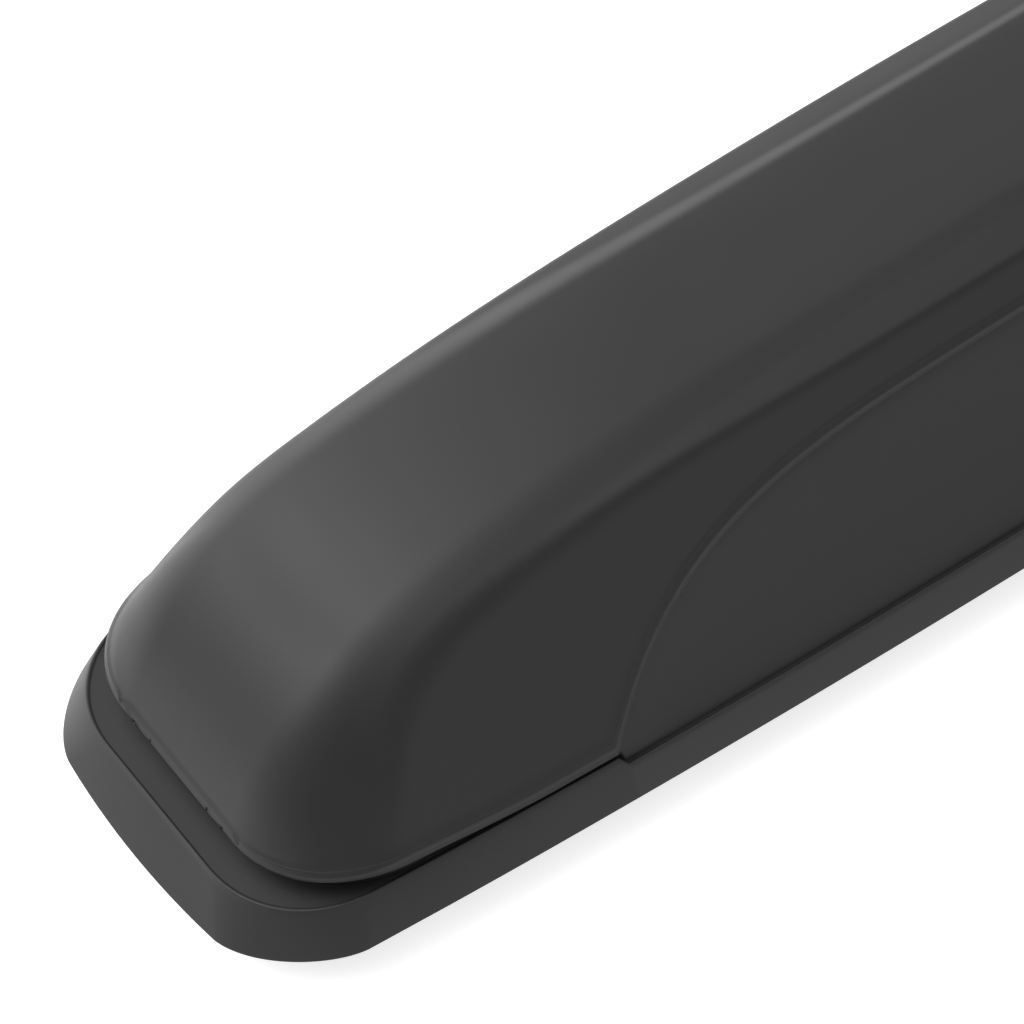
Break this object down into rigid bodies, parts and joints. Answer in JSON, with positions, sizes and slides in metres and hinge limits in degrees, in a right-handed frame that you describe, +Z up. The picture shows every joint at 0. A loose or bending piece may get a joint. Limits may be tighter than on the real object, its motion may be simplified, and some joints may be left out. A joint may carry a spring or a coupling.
{
  "type": "roof cargo box",
  "caption": "Long roof cargo box: flanged base tray with arched side panels, tail-opening hinged lid on gas struts, tail lock and crossbar clamps.",
  "frame": {"origin": "bottom centre of the bounding box, level with the undersides of the crossbar claws", "axes": "+X from the nose to the tail, +Y to the right-hand side seen from the tail's far end looking forward, +Z up"},
  "size_m": [2.18, 0.674, 0.4496],
  "materials": {
    "lid_skin": "finely grained dark grey, satin",
    "tray_skin": "finely grained dark grey, satin",
    "trim": "black, smooth",
    "rubber": "matt black",
    "steel": "zinc plated",
    "extrusion": "mill finish",
    "paint": "black powder coat",
    "webbing": "woven",
    "knob": "red, satin"
  },
  "bodies": {
    "tray": {"base_tray": "tray_skin", "weather_seal": "rubber", "stiffener_left": "extrusion", "stiffener_right": "extrusion", "hinge_bracket": "paint", "hinge_pin": "steel", "strut_foot_left": "paint", "strut_foot_right": "paint", "striker_left": "paint", "striker_right": "paint", "strap_front": "webbing", "strap_rear": "webbing", "buckle_front": "paint", "buckle_rear": "paint", "nose_left_plate": "paint", "nose_left_carrier": "trim", "nose_left_pad": "rubber", "nose_right_plate": "paint", "nose_right_carrier": "trim", "nose_right_pad": "rubber", "tail_left_plate": "paint", "tail_left_carrier": "trim", "tail_left_pad": "rubber", "tail_right_plate": "paint", "tail_right_carrier": "trim", "tail_right_pad": "rubber"},
    "lid": {"lid_shell": "lid_skin", "hinge_leaf": "paint", "strut_hanger_left": "paint", "strut_hanger_right": "paint", "lock_housing": "trim", "bar_guide_left": "trim", "bar_guide_right": "trim"},
    "handle": {"lock_handle": "paint", "lock_rotor": "steel"},
    "lock_cylinder": {"lock_cylinder": "steel"},
    "key": {"key": "steel"},
    "lock_bar_left": {"lock_bar_left": "steel"},
    "lock_bar_right": {"lock_bar_right": "steel"},
    "strut_tube_left": {"strut_tube_left": "paint"},
    "strut_rod_left": {"strut_rod_left": "steel"},
    "strut_tube_right": {"strut_tube_right": "paint"},
    "strut_rod_right": {"strut_rod_right": "steel"},
    "nose_left_knob": {"nose_left_knob": "knob"},
    "nose_left_claw_front": {"nose_left_claw_front": "paint"},
    "nose_left_claw_rear": {"nose_left_claw_rear": "paint"},
    "nose_right_knob": {"nose_right_knob": "knob"},
    "nose_right_claw_front": {"nose_right_claw_front": "paint"},
    "nose_right_claw_rear": {"nose_right_claw_rear": "paint"},
    "tail_left_knob": {"tail_left_knob": "knob"},
    "tail_left_claw_front": {"tail_left_claw_front": "paint"},
    "tail_left_claw_rear": {"tail_left_claw_rear": "paint"},
    "tail_right_knob": {"tail_right_knob": "knob"},
    "tail_right_claw_front": {"tail_right_claw_front": "paint"},
    "tail_right_claw_rear": {"tail_right_claw_rear": "paint"},
    "cam_lever_front": {"cam_lever_front": "steel"},
    "cam_lever_rear": {"cam_lever_rear": "steel"}
  },
  "joints": [
    {"name": "lid_hinge", "type": "hinge", "parent": "tray", "child": "lid", "pos_m": [-0.955, 0, 0.1482], "axis": [0, -1, 0], "range_deg": [0, 30]},
    {"name": "strut_left_turn", "type": "hinge", "parent": "tray", "child": "strut_tube_left", "pos_m": [-0.70743, -0.17, 0.11341], "axis": [0, -1, 0], "range_deg": [0, 15.5]},
    {"name": "strut_left_extend", "type": "slide", "parent": "strut_tube_left", "child": "strut_rod_left", "axis": [-0.2079, 0, 0.9781], "range_m": [0, 0.1178]},
    {"name": "strut_right_turn", "type": "hinge", "parent": "tray", "child": "strut_tube_right", "pos_m": [-0.70743, 0.17, 0.11341], "axis": [0, -1, 0], "range_deg": [0, 15.5]},
    {"name": "strut_right_extend", "type": "slide", "parent": "strut_tube_right", "child": "strut_rod_right", "axis": [-0.2079, 0, 0.9781], "range_m": [0, 0.1178]},
    {"name": "handle_turn", "type": "hinge", "parent": "lid", "child": "handle", "pos_m": [0.964, 0, 0.1992], "axis": [1, 0, 0], "range_deg": [0, 90]},
    {"name": "bar_left_slide", "type": "slide", "parent": "lid", "child": "lock_bar_left", "axis": [0, -1, 0], "range_m": [0, 0.0145]},
    {"name": "bar_right_slide", "type": "slide", "parent": "lid", "child": "lock_bar_right", "axis": [0, 1, 0], "range_m": [0, 0.0145]},
    {"name": "key_turn", "type": "hinge", "parent": "handle", "child": "lock_cylinder", "pos_m": [1.015, 0, 0.1992], "axis": [1, 0, 0], "range_deg": [0, 90]},
    {"name": "key_pull", "type": "slide", "parent": "lock_cylinder", "child": "key", "axis": [1, 0, 0], "range_m": [0, 0.03]},
    {"name": "nose_left_knob_turn", "type": "hinge", "parent": "tray", "child": "nose_left_knob", "pos_m": [-0.45, -0.19, 0.0602], "axis": [0, 0, 1], "range_deg": [0, 1440]},
    {"name": "nose_left_claw_front_slide", "type": "slide", "parent": "tray", "child": "nose_left_claw_front", "axis": [1, 0, 0], "range_m": [0, 0.0205]},
    {"name": "nose_left_claw_rear_slide", "type": "slide", "parent": "tray", "child": "nose_left_claw_rear", "axis": [-1, 0, 0], "range_m": [0, 0.0205]},
    {"name": "nose_right_knob_turn", "type": "hinge", "parent": "tray", "child": "nose_right_knob", "pos_m": [-0.45, 0.19, 0.0602], "axis": [0, 0, 1], "range_deg": [0, 1440]},
    {"name": "nose_right_claw_front_slide", "type": "slide", "parent": "tray", "child": "nose_right_claw_front", "axis": [1, 0, 0], "range_m": [0, 0.0205]},
    {"name": "nose_right_claw_rear_slide", "type": "slide", "parent": "tray", "child": "nose_right_claw_rear", "axis": [-1, 0, 0], "range_m": [0, 0.0205]},
    {"name": "tail_left_knob_turn", "type": "hinge", "parent": "tray", "child": "tail_left_knob", "pos_m": [0.31, -0.19, 0.0602], "axis": [0, 0, 1], "range_deg": [0, 1440]},
    {"name": "tail_left_claw_front_slide", "type": "slide", "parent": "tray", "child": "tail_left_claw_front", "axis": [1, 0, 0], "range_m": [0, 0.0205]},
    {"name": "tail_left_claw_rear_slide", "type": "slide", "parent": "tray", "child": "tail_left_claw_rear", "axis": [-1, 0, 0], "range_m": [0, 0.0205]},
    {"name": "tail_right_knob_turn", "type": "hinge", "parent": "tray", "child": "tail_right_knob", "pos_m": [0.31, 0.19, 0.0602], "axis": [0, 0, 1], "range_deg": [0, 1440]},
    {"name": "tail_right_claw_front_slide", "type": "slide", "parent": "tray", "child": "tail_right_claw_front", "axis": [1, 0, 0], "range_m": [0, 0.0205]},
    {"name": "tail_right_claw_rear_slide", "type": "slide", "parent": "tray", "child": "tail_right_claw_rear", "axis": [-1, 0, 0], "range_m": [0, 0.0205]},
    {"name": "cam_front_lift", "type": "hinge", "parent": "tray", "child": "cam_lever_front", "pos_m": [-0.19, 0, 0.0899], "axis": [1, 0, 0], "range_deg": [0, 70]},
    {"name": "cam_rear_lift", "type": "hinge", "parent": "tray", "child": "cam_lever_rear", "pos_m": [0.09, 0, 0.0899], "axis": [1, 0, 0], "range_deg": [0, 70]}
  ],
  "couplings": [
    {"joint": "strut_left_turn", "follows": "lid_hinge", "ratio": 0.5},
    {"joint": "strut_left_extend", "follows": "lid_hinge", "m_per_rad": 0.22227},
    {"joint": "strut_right_turn", "follows": "lid_hinge", "ratio": 0.5},
    {"joint": "strut_right_extend", "follows": "lid_hinge", "m_per_rad": 0.22227},
    {"joint": "bar_left_slide", "follows": "handle_turn", "m_per_rad": 0.008913},
    {"joint": "bar_right_slide", "follows": "handle_turn", "m_per_rad": 0.008913},
    {"joint": "nose_left_claw_front_slide", "follows": "nose_left_knob_turn", "m_per_rad": 0.0007958},
    {"joint": "nose_left_claw_rear_slide", "follows": "nose_left_knob_turn", "m_per_rad": 0.0007958},
    {"joint": "nose_right_claw_front_slide", "follows": "nose_right_knob_turn", "m_per_rad": 0.0007958},
    {"joint": "nose_right_claw_rear_slide", "follows": "nose_right_knob_turn", "m_per_rad": 0.0007958},
    {"joint": "tail_left_claw_front_slide", "follows": "tail_left_knob_turn", "m_per_rad": 0.0007958},
    {"joint": "tail_left_claw_rear_slide", "follows": "tail_left_knob_turn", "m_per_rad": 0.0007958},
    {"joint": "tail_right_claw_front_slide", "follows": "tail_right_knob_turn", "m_per_rad": 0.0007958},
    {"joint": "tail_right_claw_rear_slide", "follows": "tail_right_knob_turn", "m_per_rad": 0.0007958}
  ]
}
